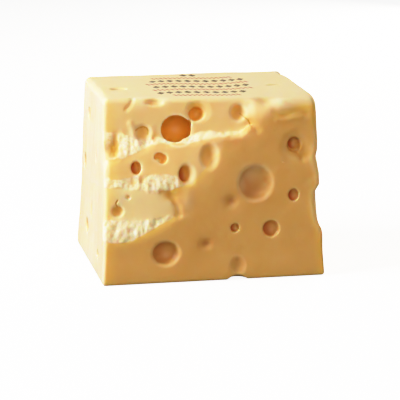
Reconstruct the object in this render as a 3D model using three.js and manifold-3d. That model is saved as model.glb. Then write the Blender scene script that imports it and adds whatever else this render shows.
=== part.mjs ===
// A block of firm cheese with large eyes, cut from a wheel.
//
// The top is the wheel's smooth rind and the other five faces are cut. Pieces have been broken off the front's upper
// left, one under the other, so that three flat fracture faces step back from the front. A torn ledge divides each
// from the next. Gas bubbles have left round eyes in every cut face, some deep and some only grazed by the knife.
//
// Millimetres, +Z up. +X runs along the front, whose outward side is -Y. The origin is the middle of the base.

import * as THREE from "three";
import { mergeVertices } from "three/addons/utils/BufferGeometryUtils.js";
import Module from "manifold-3d";

const wasm = await Module();
wasm.setup();

// The block as it was cut.
const WIDTH = 165;
const DEPTH = 112;
const HEIGHT = 128;

// How far each side leans in by the top.
const LEAN = { left: 7, right: 5.5, front: 1.5, back: 2 };

// How far the left side turns in towards the front at its base and top, and the right side towards the back.
const LEFT_TOE = { base: 7, top: 5 };
const RIGHT_TOE = { base: 1, top: 4 };

// The edges' radius at the base and at the top, and how far the top droops over its last stretch to the front.
const BASE_EDGE = 2;
const TOP_EDGE = 4.5;
const DROOP = 2.6;
const DROOP_LENGTH = 12;

// How deep the long hollows of the faces are on average.
const SIDE_HOLLOW = 0.5;
const TOP_HOLLOW = 0.3;

const mix = THREE.MathUtils.lerp;
const smooth = THREE.MathUtils.smoothstep;

// Long shallow hollows, from 0 to twice the amplitude, over a face with coordinates u and v.
function hollow(amplitude, u, v) {
  const long = Math.sin(u / 19 + 1.3) * Math.cos(v / 23 + 0.4);
  const short = Math.sin(u / 11 + v / 14);
  return amplitude * (1 + 0.65 * long + 0.35 * short);
}

// The hollows of a side fade out at the foot, so that the base keeps its full size.
const sideHollow = (u, z, phase = 0) => hollow(SIDE_HOLLOW, u + phase, z + phase) * smooth(z, 4, 22);

const turnIn = (toe, z, share) => mix(toe.base, toe.top, z / HEIGHT) * share;
const leftInset = (y, z) => (LEAN.left * z) / HEIGHT + turnIn(LEFT_TOE, z, 0.5 - y / DEPTH);
const rightInset = (y, z) => (LEAN.right * z) / HEIGHT + turnIn(RIGHT_TOE, z, 0.5 + y / DEPTH);

// Each face as the coordinate that it has at a place on it. The phases keep the faces' hollows unlike each other.
const FACES = {
  left: (y, z) => -WIDTH / 2 + leftInset(y, z) + sideHollow(y, z),
  right: (y, z) => WIDTH / 2 - rightInset(y, z) - sideHollow(y, z, 40),
  front: (x, z) => -DEPTH / 2 + (LEAN.front * z) / HEIGHT + sideHollow(x, z, 30),
  back: (x, z) => DEPTH / 2 - (LEAN.back * z) / HEIGHT - sideHollow(x, z, 70),
  top: (x, y) => HEIGHT - DROOP * Math.max(0, 1 - (y + DEPTH / 2) / DROOP_LENGTH) ** 2 - hollow(TOP_HOLLOW, x, y),
  bottom: () => 0,
};

// The broken-off pieces, from the top one down. A fracture face is a plane: it lies `recess` behind the front at its
// anchor (x, z), and changes by slope[0] for each millimetre along X and by slope[1] for each along Z. Below it is
// the ledge, a list of [x, z, fall], where fall says how far the ledge drops for each millimetre that it comes out.
// `rake` and `flare` lean the right-hand end of the piece, where it doesn't run out in the front face by itself.
const CHIPS = [
  {
    anchor: [-74.5, 100],
    recess: 18.5,
    slope: [-0.13, 0.05],
    ledge: [
      [-95, 101, 0.9],
      [-69.5, 99.5, 0.9],
      [-61.5, 94, 0.9],
      [-53.5, 96.5, 0.9],
      [-44.5, 98.7, 0.9],
      [-32.5, 100.6, 0.5],
      [-12.5, 99.7, 0.3],
      [-2, 103, 0.3],
      [5, 105.5, 0.2],
      [21.5, 107, 0.2],
      [28.5, 110, 0.2],
    ],
    rake: 0.35,
    flare: 0.8,
  },
  {
    anchor: [-12.5, 70],
    recess: 0,
    slope: [-0.182, 0.157],
    ledge: [
      [-95, 75, 1],
      [-70.5, 74.5, 1],
      [-61.5, 73, 1.1],
      [-47.5, 73.8, 2.2],
      [-34.5, 75, 3],
      [-20.5, 76, 3.2],
      [-13.5, 71, 3.2],
      [21.5, 68, 3.2],
      [61.5, 68, 3.2],
    ],
    rake: 0,
    flare: 0,
  },
  {
    anchor: [-23.5, 50],
    recess: 0,
    slope: [-0.13, 0.05],
    ledge: [
      [-95, 48, 2.6],
      [-74.5, 47, 2.6],
      [-67.5, 45.3, 2.8],
      [-55.5, 41.6, 2.5],
      [-41.5, 44.3, 3],
      [-31.5, 47, 3.2],
      [-22.5, 52, 3.2],
      [16.5, 52, 3.2],
    ],
    rake: 0,
    flare: 0,
  },
];

// The eyes of each face: [u, v, mouth, deep, wide, tall]. u and v are the face's own coordinates, X or Y and then Z,
// or X and Y on the top and bottom. mouth is the opening's radius and deep is how far in the eye goes. wide and tall
// stretch it along u and v, and are 1 where they are left out.
const EYES = {
  front: [
    // on the top fracture face
    [-21.1, 106.1, 10.3, 14, 1, 0.98],
    [-7.3, 119.1, 6.9, 8],
    [-45.4, 104.8, 4.8, 3.5],
    [-63.9, 94.8, 4.6, 6, 0.75, 1.4],
    [-36.8, 124.9, 5.5, 2.6, 1, 0.55],
    [-49.5, 126, 4, 2.5],
    [20.6, 117.5, 5.5, 5],
    // on the middle fracture face
    [-49.6, 81.1, 4.1, 8, 0.85, 1.15],
    [-32.9, 87.8, 4, 5, 1.15, 0.85],
    [-16.3, 77.2, 5.2, 8, 0.85, 1.25],
    [0.7, 91.6, 7, 4, 0.85, 1.15],
    // on the lowest fracture face
    [-56.5, 61.3, 1.8, 1.4],
    [-64.1, 52, 3.8, 4],
    [-23.5, 61.5, 6, 2.6],
    // along the front's top edge
    [38, 126, 4.2, 3],
    [56.5, 117, 11, 3.2, 1, 0.34],
    [68, 115.2, 3, 2],
    // on the smooth right-hand part
    [57, 95.6, 4.4, 9],
    [60.4, 93.6, 8, 4.2],
    [32.4, 68.6, 12.9, 6.5, 1, 1.05],
    [14.6, 57.2, 4.6, 1.9],
    [59.2, 58.8, 4.8, 5],
    [17.5, 37.3, 3.5, 3.4],
    [43.1, 35.8, 6.3, 6.8],
    [-3, 28, 4.4, 2],
    [19.7, 12.2, 5.2, 3, 0.92, 1.1],
    [-31.3, 21.6, 9, 8, 1.05, 0.94],
  ],
  left: [
    [-13, 83, 5.2, 5],
    [16, 30, 7, 6],
    [36, 68, 6, 6],
    [24, 106, 4.4, 4],
    [-30, 16, 3.4, 3],
    [3, 57, 2.6, 2],
  ],
  right: [
    // bites out of the front edge and the top edge
    [-54, 56.5, 9.5, 6],
    [-54, 88, 5, 1.4],
    [35, 125, 5, 4],
    [12, 126, 4, 3],
    // on the face
    [-20, 92, 6.4, 7],
    [8, 40, 7.4, 5.5],
    [27, 92, 5, 4],
    [14, 70, 3.6, 4],
    [-28, 26, 5, 5],
    [40, 20, 6, 5],
    [-4, 112, 3.4, 3],
    [44, 60, 4, 3],
    [-26, 62, 3, 3],
  ],
  back: [
    [-55, 98, 7, 6],
    [-30, 70, 7.2, 5.5],
    [-60, 42, 5, 5],
    [-12, 104, 4.6, 4],
    [6, 50, 6, 6],
    [28, 88, 8, 5],
    [56, 108, 5, 4],
    [60, 62, 6, 6],
    [38, 30, 7.2, 5.5],
    [-6, 20, 4, 4],
    [-40, 16, 6, 5],
    [-66, 72, 3.4, 3],
    [64, 18, 4, 3],
    [-14, 44, 3, 3],
  ],
  top: [
    [-56.1, 1, 4.6, 1.2, 1, 0.45],
    [54.4, -4.6, 4.2, 1, 1.1, 0.4],
  ],
  bottom: [
    [19.5, -55.5, 7, 3.4],
    [-42, 22, 6, 5],
    [34, -16, 7, 6],
    [54, 26, 4, 4],
    [-12, 34, 3, 3],
    [-48, -26, 5, 4],
  ],
};

// Which way is into the block at each face, and which axes the face's u and v run along.
const INWARD = {
  left: new THREE.Vector3(1, 0, 0),
  right: new THREE.Vector3(-1, 0, 0),
  front: new THREE.Vector3(0, 1, 0),
  back: new THREE.Vector3(0, -1, 0),
  top: new THREE.Vector3(0, 0, -1),
  bottom: new THREE.Vector3(0, 0, 1),
};
const PLACE = {
  left: (u, v, w) => new THREE.Vector3(w, u, v),
  right: (u, v, w) => new THREE.Vector3(w, u, v),
  front: (u, v, w) => new THREE.Vector3(u, w, v),
  back: (u, v, w) => new THREE.Vector3(u, w, v),
  top: (u, v, w) => new THREE.Vector3(u, v, w),
  bottom: (u, v, w) => new THREE.Vector3(u, v, w),
};

// How many strips the block's faces are divided into.
const STRIPS = { x: 18, y: 13, z: 15 };

// A closed three.js geometry as a solid that can be cut and joined.
function toSolid(geometry) {
  const bare = geometry.clone();
  bare.deleteAttribute("normal");
  bare.deleteAttribute("uv");
  const merged = mergeVertices(bare, 1e-4);
  return new wasm.Manifold(
    new wasm.Mesh({
      numProp: 3,
      vertProperties: new Float32Array(merged.attributes.position.array),
      triVerts: new Uint32Array(merged.index.array),
    }),
  );
}

// The solid as a three.js geometry again.
function toGeometry(solid) {
  const mesh = solid.getMesh();
  const geometry = new THREE.BufferGeometry();
  geometry.setAttribute("position", new THREE.BufferAttribute(mesh.vertProperties, 3));
  geometry.setIndex(new THREE.BufferAttribute(mesh.triVerts, 1));
  geometry.computeVertexNormals();
  return geometry;
}

// Moves each vertex of a geometry to where `place` puts it.
function reshape(geometry, place) {
  const positions = geometry.attributes.position;
  const point = new THREE.Vector3();
  for (let i = 0; i < positions.count; i++) {
    place(point.fromBufferAttribute(positions, i));
    positions.setXYZ(i, point.x, point.y, point.z);
  }
  return geometry;
}

// A line of the block's grid: even, apart from two lines at each end that shape the rounded edge.
function gridLine(unit, strips, half, radius) {
  const index = Math.round(((unit + 1) / 2) * strips);
  const fromEnd = Math.min(index, strips - index);
  const side = index * 2 < strips ? -1 : 1;
  if (fromEnd === 0) return side * half;
  if (fromEnd === 1) return side * (half - 0.4 * radius);
  return mix(radius - half, half - radius, (index - 2) / (strips - 4));
}

// The uncut block: a box with rounded edges, then bent to its leaning, slightly hollow faces.
function blockGeometry() {
  const half = new THREE.Vector3(WIDTH / 2, DEPTH / 2, HEIGHT / 2);
  const core = new THREE.Vector3();
  return reshape(new THREE.BoxGeometry(2, 2, 2, STRIPS.x, STRIPS.y, STRIPS.z), (p) => {
    const radius = mix(BASE_EDGE, TOP_EDGE, smooth(p.z, -1, 1));
    p.set(
      gridLine(p.x, STRIPS.x, half.x, radius),
      gridLine(p.y, STRIPS.y, half.y, radius),
      gridLine(p.z, STRIPS.z, half.z, radius),
    );
    const reach = half.clone().subScalar(radius);
    core.copy(p).clamp(reach.clone().negate(), reach);
    p.sub(core).setLength(radius).add(core);
    const { x, y } = p;
    const z = p.z + half.z;
    p.x = mix(FACES.left(y, z), FACES.right(y, z), x / WIDTH + 0.5);
    p.y = mix(FACES.front(x, z), FACES.back(x, z), y / DEPTH + 0.5);
    p.z = (z / HEIGHT) * FACES.top(x, y);
  });
}

// How far a chip's fracture face lies behind the front.
function recessOf({ anchor, recess, slope }, x, z) {
  return recess + slope[0] * (x - anchor[0]) + slope[1] * (z - anchor[1]);
}

// The height of a chip's ledge where it meets the fracture face.
function ledgeHeight({ ledge }, x) {
  const next = ledge.findIndex(([to]) => to > x);
  if (next <= 0) return ledge[next === 0 ? 0 : ledge.length - 1][1];
  const [from, fromZ] = ledge[next - 1];
  const [to, toZ] = ledge[next];
  return mix(fromZ, toZ, (x - from) / (to - from));
}

// The front face with its fracture faces.
function frontSurface(x, z) {
  const depths = CHIPS.filter((chip) => z > ledgeHeight(chip, x)).map((chip) => recessOf(chip, x, z));
  return FACES.front(x, z) + Math.max(0, ...depths);
}

// The space that a broken-off piece leaves: its back is the fracture face and its floor is the ledge.
function chipCutter(chip) {
  const { ledge, rake, flare } = chip;
  const clear = 6;
  const ceiling = HEIGHT + 10;
  return reshape(new THREE.BoxGeometry(1, 1, 1, ledge.length - 1, 3, 1), (p) => {
    const column = Math.round((p.x + 0.5) * (ledge.length - 1));
    const [x, height, fall] = ledge[column];
    const onLedge = p.z < 0;
    const z = onLedge ? height : ceiling;
    const across = x + rake * (z - height);
    const face = -DEPTH / 2 + (LEAN.front * z) / HEIGHT + recessOf(chip, across, z);
    const outside = Math.min(face, -DEPTH / 2) - clear;
    const out = (face - outside) * (0.5 - p.y);
    const atEnd = column === ledge.length - 1;
    p.set(atEnd ? across + flare * out : across, face - out, onLedge ? z - fall * out : z);
  });
}

// The bubble behind an eye: the sphere that makes an opening of the mouth's radius and goes in as deep as given.
function eyeCutter(face, [u, v, mouth, deep, wide = 1, tall = 1]) {
  const radius = (mouth ** 2 + deep ** 2) / (2 * deep);
  const segments = THREE.MathUtils.clamp(Math.round(5 + mouth * 0.95), 7, 15);
  const bubble = new THREE.SphereGeometry(radius, segments, Math.ceil(segments * 0.6));
  const along = PLACE[face](wide, tall, 1);
  const surface = face === "front" ? frontSurface(u, v) : FACES[face](u, v);
  const centre = PLACE[face](u, v, surface).addScaledVector(INWARD[face], deep - radius);
  return bubble.scale(along.x, along.y, along.z).translate(centre.x, centre.y, centre.z);
}

function buildBlock() {
  let block = toSolid(blockGeometry());
  for (const chip of CHIPS) {
    block = block.subtract(toSolid(chipCutter(chip)));
  }
  for (const [face, eyes] of Object.entries(EYES)) {
    for (const eye of eyes) {
      block = block.subtract(toSolid(eyeCutter(face, eye)));
    }
  }
  return toGeometry(block);
}

const cheese = new THREE.MeshStandardMaterial({ color: 0xe8c27c, roughness: 0.5, metalness: 0 });

const block = new THREE.Mesh(buildBlock(), cheese);
block.name = "cheese_block";

const part = new THREE.Group();
part.add(block);

export default part;
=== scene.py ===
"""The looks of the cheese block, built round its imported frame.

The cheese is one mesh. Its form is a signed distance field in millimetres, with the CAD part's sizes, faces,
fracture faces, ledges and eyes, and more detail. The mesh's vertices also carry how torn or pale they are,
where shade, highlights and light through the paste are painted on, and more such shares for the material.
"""

import math
from types import SimpleNamespace

import bpy
import numpy as np
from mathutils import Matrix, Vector


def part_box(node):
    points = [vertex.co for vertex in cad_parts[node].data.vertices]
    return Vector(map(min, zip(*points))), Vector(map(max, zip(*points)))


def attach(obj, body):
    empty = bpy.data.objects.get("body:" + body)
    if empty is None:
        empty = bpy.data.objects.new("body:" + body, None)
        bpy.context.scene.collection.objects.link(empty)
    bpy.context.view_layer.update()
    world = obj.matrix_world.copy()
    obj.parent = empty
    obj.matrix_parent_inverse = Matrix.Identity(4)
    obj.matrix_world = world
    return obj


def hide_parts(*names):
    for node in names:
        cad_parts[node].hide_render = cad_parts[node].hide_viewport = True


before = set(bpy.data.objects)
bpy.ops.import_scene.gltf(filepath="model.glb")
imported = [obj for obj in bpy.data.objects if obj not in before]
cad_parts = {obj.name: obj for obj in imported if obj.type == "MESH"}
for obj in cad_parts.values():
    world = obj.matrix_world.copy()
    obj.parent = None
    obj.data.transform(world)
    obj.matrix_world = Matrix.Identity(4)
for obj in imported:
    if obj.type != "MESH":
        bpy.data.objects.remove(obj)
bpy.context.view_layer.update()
box_low, box_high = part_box("cheese_block")

MM = 0.001

# ---------- The block's sizes in millimetres, as in the CAD part ----------

WIDTH = 165
DEPTH = 112
HEIGHT = 128
LEAN = {"left": 7, "right": 5.5, "front": 1.5, "back": 2}
LEFT_TOE = (7, 5)
RIGHT_TOE = (1, 4)
BASE_EDGE = 2
TOP_EDGE = 4.5
DROOP = 2.6
DROOP_LENGTH = 12
SIDE_HOLLOW = 0.5
TOP_HOLLOW = 0.3

# How far the front's right edge is worn back, as (z, distance). The wear runs out where -Y is in WEAR_FADE.
WORN_RIGHT = (
    (0, 0.2), (22, 0.5), (30, 0.3), (34, 1), (38, 3), (42, 4.2), (46, 4.8), (51, 5.2), (56, 5.3), (61, 4.4),
    (66, 1.2), (74, 0.8), (80, 1.6), (86, 2.8), (91, 1.4), (98, 1), (110, 1.6), (120, 1.8), (128, 2.4),
)
WEAR_FADE = (34, 55)

# How far the front's top edge sinks along X, as (x, distance).
WORN_TOP = (
    (-78, 0.6), (-60, 0), (-50, 0.9), (-38, 1.6), (-26, 0.2), (-8, 0.8), (8, 0), (22, 0.9), (38, 1.4),
    (60, 0.5),
)

# How far apart the field is sampled, which is further along the depth behind the front's fine detail.
STEP = 0.7
BACK_STEP = 1.2
FINE_DEPTH = 32

# The mesh is thinned to this many triangles. It stays a hair's breadth, in metres, inside the solid's box, so
# that thinning never carries a point past it.
TRIANGLES = 190_000
SLACK = 5e-6

# How many values the noise's lattice has each way before it repeats, and a shift that keeps places positive.
LATTICE = 24
LATTICE_SHIFT = 10 * LATTICE + 0.5

CORNERS = [(i, j, k) for i in (0, 1) for j in (0, 1) for k in (0, 1)]

# Layers of noise, each as (height, bump size, seed, stretch of X, Y and Z).
EVEN = (1, 1, 1)
LEDGE_NOISE = ((1.1, 6.5, 3, (1, 0.5, 0.2)), (0.6, 2.6, 4, (1, 1, 0.3)))
WALL_NOISE = ((0.4, 5, 6, EVEN),)
BORDER_NOISE = ((1.3, 6, 21, EVEN), (0.7, 2.5, 22, EVEN))
HIGHLIGHT_STRIP_NOISE = ((1.4, 9, 31, EVEN), (0.7, 3.5, 32, EVEN))
PAINTED_GLOW_NOISE = ((2, 14, 33, EVEN),)
CRUMB_NOISE = ((0.5, 2.6, 11, (1, 1, 0.4)), (0.3, 1.5, 12, (1, 1, 0.6)), (0.45, 6.5, 13, (1, 1, 0.5)))
KNIFE_NOISE = ((0.12, 9, 14, EVEN), (0.05, 3.5, 15, EVEN))

# How far in the whole surface lies, so that its waves stay inside the solid's box.
INSET = 0.06


def mix(a, b, t):
    """The value between a and b, as t goes from 0 to 1."""
    return a + (b - a) * t


def ease(value, low, high):
    """From 0 at low to 1 at high, easing in and out."""
    t = np.clip((value - low) / (high - low), 0, 1)
    return t * t * (3 - 2 * t)


def bell(distance, width):
    """From 1 at no distance towards 0 past about twice the width."""
    return np.exp(-((distance / width) ** 2))


def smooth_max(a, b, radius):
    """The larger of two distances, with their crease rounded."""
    near = np.maximum(radius - np.abs(a - b), 0)
    return np.maximum(a, b) + near * near / (4 * radius)


def along(line, value):
    """The height at one place of a line of points."""
    return np.interp(value, *zip(*line))


def lattice_noise(x, y, z, size, seed):
    """Smooth noise from -1 to 1, whose bumps are about size across."""
    lattice = np.random.RandomState(seed).rand(LATTICE, LATTICE, LATTICE).astype(np.float32) * 2 - 1
    ends = []
    weights = []
    for value in (x, y, z):
        place = value / size + LATTICE_SHIFT
        whole = np.floor(place)
        part = place - whole
        whole = whole.astype(np.int32)
        ends.append((whole % LATTICE, (whole + 1) % LATTICE))
        weight = part * part * (3 - 2 * part)
        weights.append((1 - weight, weight))
    total = 0
    for i, j, k in CORNERS:
        share = weights[0][i] * weights[1][j] * weights[2][k]
        total = total + share * lattice[ends[0][i], ends[1][j], ends[2][k]]
    return total


def noise(layers, x, y, z):
    """The sum of some layers of noise."""
    return sum(
        height * lattice_noise(x * wide, y * long, z * tall, size, seed)
        for height, size, seed, (wide, long, tall) in layers
    )


# ---------- The block's faces ----------


def hollow(amplitude, u, v):
    """A shallow waviness of a face."""
    long = np.sin(u / 19 + 1.3) * np.cos(v / 23 + 0.4)
    short = np.sin(u / 11 + v / 14)
    return amplitude * (1 + 0.65 * long + 0.35 * short)


def side_hollow(u, z, phase=0):
    """A side face's waviness, which fades out towards the base."""
    return hollow(SIDE_HOLLOW, u + phase, z + phase) * ease(z, 4, 22)


def turn_in(toe, z, share):
    """How far a face is turned in for a toe, given as its size at the base and at the top."""
    return mix(toe[0], toe[1], z / HEIGHT) * share


def left_face(y, z):
    leaning = -WIDTH / 2 + LEAN["left"] * z / HEIGHT
    return leaning + turn_in(LEFT_TOE, z, 0.5 - y / DEPTH) + side_hollow(y, z)


def right_face(y, z):
    flat = WIDTH / 2 - LEAN["right"] * z / HEIGHT - turn_in(RIGHT_TOE, z, 0.5 + y / DEPTH)
    return flat - side_hollow(y, z, 40) - along(WORN_RIGHT, z) * ease(-y, *WEAR_FADE)


def front_face(x, z):
    return -DEPTH / 2 + LEAN["front"] * z / HEIGHT + side_hollow(x, z, 30)


def back_face(x, z):
    return DEPTH / 2 - LEAN["back"] * z / HEIGHT - side_hollow(x, z, 70)


def top_face(x, y):
    near_front = np.maximum(0, 1 - (y + DEPTH / 2) / DROOP_LENGTH) ** 2
    droop = (DROOP + along(WORN_TOP, x)) * near_front
    return HEIGHT - droop - hollow(TOP_HOLLOW, x, y)


def bottom_face(x, y):
    return 0 * x


def block_distance(x, y, z):
    """How far a place is outside the uncut block, with its edges rounded."""
    radius = mix(BASE_EDGE, TOP_EDGE, ease(z, 0, HEIGHT))
    across = np.maximum(left_face(y, z) - x, x - right_face(y, z)) + radius
    deep = np.maximum(front_face(x, z) - y, y - back_face(x, z)) + radius
    up = np.maximum(z - top_face(x, y), -z) + radius
    outside = np.sqrt(np.maximum(across, 0) ** 2 + np.maximum(deep, 0) ** 2 + np.maximum(up, 0) ** 2)
    inside = np.minimum(np.maximum(np.maximum(across, deep), up), 0)
    return outside + inside - radius


# ---------- The broken-off pieces ----------

# As in the CAD part: a fracture face lies recess behind the front at its anchor (x, z), and changes by slope
# along X and Z. Its ledge comes down from the line head, on the fracture face, to the line foot, on what is
# below. end is the wall at its right, as (z, foot, crest): the wall's X on the fracture face and at the
# front. fresh is how pale the paste is, and edge is where that stops, as (z, x).
CHIPS = (
    {
        "anchor": (-74.5, 100), "recess": 18.5, "slope": (-0.13, 0.05), "fresh": 0.52,
        "head": (
            (-76, 103), (-66, 104), (-58, 104), (-50.5, 101), (-45.5, 98.6), (-36, 101.4), (-31, 100),
            (-20, 99.8), (-12, 102), (-6, 104.4), (2, 104.8), (12, 104.4), (21, 104.6), (28.5, 109.6),
        ),
        "foot": (
            (-76, 86), (-66, 86), (-58, 88), (-50, 91.6), (-43.5, 95), (-33.5, 97.2), (-14, 97.6),
            (-7, 99.6), (0.5, 101), (5.5, 102.2), (20, 103.4), (28.5, 109.2),
        ),
        "end": (
            (104, 30, 31), (109, 29.2, 32), (114.5, 24.2, 35), (119, 24.6, 40), (124, 26, 44), (130, 28, 47),
        ),
        "edge": ((104, 30), (109, 29), (114.5, 24.5), (119, 25), (124, 26.5), (130, 28)),
    },
    {
        "anchor": (-12.5, 70), "recess": 0, "slope": (-0.17, 0.157), "fresh": 0.25,
        "head": (
            (-76, 73), (-70, 73.4), (-60, 74), (-48.5, 75.6), (-39, 76.6), (-29, 76.6), (-21, 76.2),
            (-14, 71),
        ),
        "foot": (
            (-76, 67.5), (-70, 67.8), (-59, 67.4), (-49, 66.6), (-41.5, 64.2), (-35, 63.9), (-28, 65.6),
            (-22, 68.2), (-14, 70),
        ),
        "edge": ((70, -10), (78, -2), (84, 6), (92, 9), (104, 10)),
    },
    {
        "anchor": (-23.5, 50), "recess": 0, "slope": (-0.145, 0.05), "fresh": 1,
        "head": (
            (-76, 45.5), (-71, 45.6), (-59, 45.8), (-50, 45.4), (-45, 44.8), (-40, 45.8), (-32, 46.8),
            (-25, 49),
        ),
        "foot": (
            (-76, 31.5), (-65, 30.5), (-60, 31), (-55, 32.2), (-50, 34.4), (-45, 36.6), (-40, 39.2),
            (-35, 42), (-28, 45.4), (-24, 48.5),
        ),
        "edge": ((44, -30), (47, -26), (50, -24.2), (55, -24.6), (59, -27), (63, -30)),
    },
)

# How roundly a broken-off piece's surfaces meet each other, and the block's front.
LEDGE_ROUNDING = 1.2
WALL_ROUNDING = 1.5
CHIP_ROUNDING = 3.2


def recess_of(chip, x, z):
    """How far a fracture face lies behind the front."""
    wave = 0.18 * np.sin(x / 8.3 + z / 11 + 0.6) * np.cos(z / 7.4 - x / 19)
    (x0, z0), (across, up) = chip["anchor"], chip["slope"]
    return chip["recess"] + across * (x - x0) + up * (z - z0) + wave


def fracture_face(chip, x, z):
    return -DEPTH / 2 + LEAN["front"] * z / HEIGHT + recess_of(chip, x, z)


def ledge_line(chip, x):
    """Where the ledge starts, and how far it drops for each millimetre that it comes out, along X."""
    head = along(chip["head"], x)
    foot = along(chip["foot"], x)
    below = [recess_of(other, x, foot) for other in CHIPS[CHIPS.index(chip) + 1 :]]
    reach = recess_of(chip, x, head) - np.maximum.reduce([0 * x, *below])
    return head, np.clip((head - foot) / np.maximum(reach, 0.8), 0.2, 5)


def end_wall(chip, z):
    """The wall's X on the fracture face and at the front."""
    heights, feet, crests = zip(*chip["end"])
    return np.interp(z, heights, feet), np.interp(z, heights, crests)


def above_ledge(chip, x, y, z):
    """How far a place is above the ledge's surface."""
    head, fall = ledge_line(chip, x)
    out = np.maximum(fracture_face(chip, x, z) - y, -4)
    return (z - head - noise(LEDGE_NOISE, x, y, z) + fall * out) / np.sqrt(1 + fall * fall)


def beyond_end(chip, x, y, z):
    """How far a place is past the wall where a fracture face stops."""
    foot, crest = end_wall(chip, z)
    out = fracture_face(chip, x, z) - y
    slope = (crest - foot) / np.maximum(recess_of(chip, foot, z), 2)
    return (x - foot - noise(WALL_NOISE, x, y, z) - slope * out) / np.sqrt(1 + slope * slope)


def chip_distance(chip, x, y, z):
    """How far a place is outside the broken-off piece."""
    distance = smooth_max(y - fracture_face(chip, x, z), -above_ledge(chip, x, y, z), LEDGE_ROUNDING)
    if "end" in chip:
        distance = smooth_max(distance, beyond_end(chip, x, y, z), WALL_ROUNDING)
    return distance


def front_surface(x, z):
    """The front face's Y with its fracture faces and ledges, at one place."""
    depth = 0
    for chip in CHIPS:
        head, fall = ledge_line(chip, x)
        here = recess_of(chip, x, z) - max(0, head - z) / fall
        if "end" in chip:
            foot, crest = end_wall(chip, z)
            here *= np.clip((crest - x) / (crest - foot), 0, 1)
        depth = max(depth, here)
    return float(front_face(x, z) + depth)


# ---------- The eyes ----------

# Each face's eyes as (u, v, mouth, deep, soft, wide, tall, floor): the place on the face, the mouth's radius,
# how deep it goes in, how softly its rim is rounded, its stretch along u and v, and a shallow floor's depth
# with its dome's height. The last three may be left out.
EYES = {
    "front": (
        # top fracture face
        (-21.1, 106.1, 10.2, 16, 0.5, 1, 0.97), (-12.6, 110.6, 2.2, 2.4, 0.6, 0.7, 1),
        (-7.6, 116.6, 5, 5.8, 1.2, 1, 0.92), (-8.1, 119.8, 6.4, 1.4, 1.4, 1, 0.92),
        (-45, 104.3, 5, 1.7, 1.2), (-36.8, 125.6, 5.8, 2.4, 1.6, 1, 0.45),
        (20.4, 117.8, 5, 3.4, 2.2, 0.95, 1.1),
        # middle fracture face
        (-50, 81, 3.8, 4.8, 1.3, 0.9, 1.15), (-34, 88.6, 3.2, 3.3, 0.8, 1.1, 0.9),
        (-32, 87.3, 3.2, 3.3, 0.8), (-17.4, 76.9, 4.4, 5.4, 1, 0.85, 1.25),
        (-16.1, 77.6, 5.4, 2.4, 2, 0.85, 1.2), (-0.8, 89.8, 7, 3.3, 2, 0.85, 1.25),
        # lowest fracture face
        (-56.4, 61.4, 1.5, 1.2, 0.6), (-63.9, 51.8, 3.9, 2.2, 1),
        # smooth right-hand part
        (58.9, 95.2, 3.4, 7, 1, 0.95, 1.1), (60, 94, 7.4, 1.5, 3.4, 0.95, 1.05),
        (31.9, 69.1, 11.3, 12, 3.2, 1, 1.04, (4, 0.8)), (59, 59.3, 3.9, 4.4, 0.8, 0.92, 1.12),
        (17.6, 37.5, 3, 3.6, 0.7), (43.2, 35.9, 5.9, 5, 0.9), (19.7, 10.8, 5.4, 1.3, 1.2, 0.88, 1.15),
        (-31.1, 21.6, 9, 7, 2.4, 1.03, 0.92),
    ),
    "left": (
        (-13, 83, 5.2, 3, 1, 0.35, 1.1), (2, 41, 6, 3, 1, 0.3, 1.3), (36, 68, 6, 6, 0.9),
        (24, 106, 4.4, 4, 0.9), (-30, 16, 3.4, 3, 0.9), (18, 24, 5.6, 5, 0.9),
    ),
    "right": (
        (42, 128, 8, 5, 2), (12, 126, 4, 3, 1.5), (-20, 92, 6.4, 7, 0.8), (8, 40, 7.4, 5.5, 1),
        (27, 92, 5, 4, 0.8), (14, 70, 3.6, 4, 0.8), (-28, 26, 5, 5, 0.8), (40, 20, 6, 5, 1),
        (-4, 112, 3.4, 3, 1), (44, 60, 4, 3, 1), (-26, 62, 3, 3, 0.8),
    ),
    "back": (
        (-55, 98, 7, 6, 0.8), (-30, 70, 7.2, 5.5, 1), (-60, 42, 5, 5, 0.8), (-12, 104, 4.6, 4, 0.8),
        (6, 50, 6, 6, 0.8), (28, 88, 8, 5, 1.5), (56, 108, 5, 4, 0.8), (60, 62, 6, 6, 0.8),
        (38, 30, 7.2, 5.5, 1), (-6, 20, 4, 4, 0.8), (-40, 16, 6, 5, 1), (-66, 72, 3.4, 3, 0.8),
        (64, 18, 4, 3, 1), (-14, 44, 3, 3, 0.8),
    ),
    "top": (
        (-56.1, 0, 6, 3.2, 1.2, 1, 0.75), (54.4, -4.8, 4.6, 2.2, 1.2, 1.1, 0.5),
    ),
    "bottom": (
        (19.5, -55.5, 7, 3.4, 1), (-42, 22, 6, 5, 0.8), (34, -16, 7, 6, 0.8), (54, 26, 4, 4, 0.8),
        (-12, 34, 3, 3, 0.8), (-48, -26, 5, 4, 0.8),
    ),
}

# For each face: the surface function, the axis that points out of it and its sign, and the axes of u and v.
SIDES = {
    "front": (front_surface, 1, -1, (0, 2)),
    "back": (back_face, 1, 1, (0, 2)),
    "left": (left_face, 0, -1, (1, 2)),
    "right": (right_face, 0, 1, (1, 2)),
    "top": (top_face, 2, 1, (0, 1)),
    "bottom": (bottom_face, 2, -1, (0, 1)),
}

# How roundly an eye's wall meets its floor.
FLOOR_ROUNDING = 7


def make_eye(side, u, v, mouth, deep, soft, wide=1, tall=1, floor=None):
    """An eye as its ellipsoid's centre and radii, its mouth's centre and radii, and more about it."""
    surface, axis, sign, (first, second) = SIDES[side]
    radius = (mouth**2 + deep**2) / (2 * deep)
    opening = np.zeros(3)
    opening[first], opening[second] = u, v
    opening[axis] = float(surface(u, v))
    centre = opening.copy()
    centre[axis] -= sign * (deep - radius)
    stretch = np.ones(3)
    stretch[first], stretch[second] = wide, tall
    return SimpleNamespace(
        centre=centre, radii=radius * stretch, soft=soft, opening=opening, mouth=mouth * stretch,
        axis=axis, sign=sign, deep=deep, floor=floor,
    )


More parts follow.
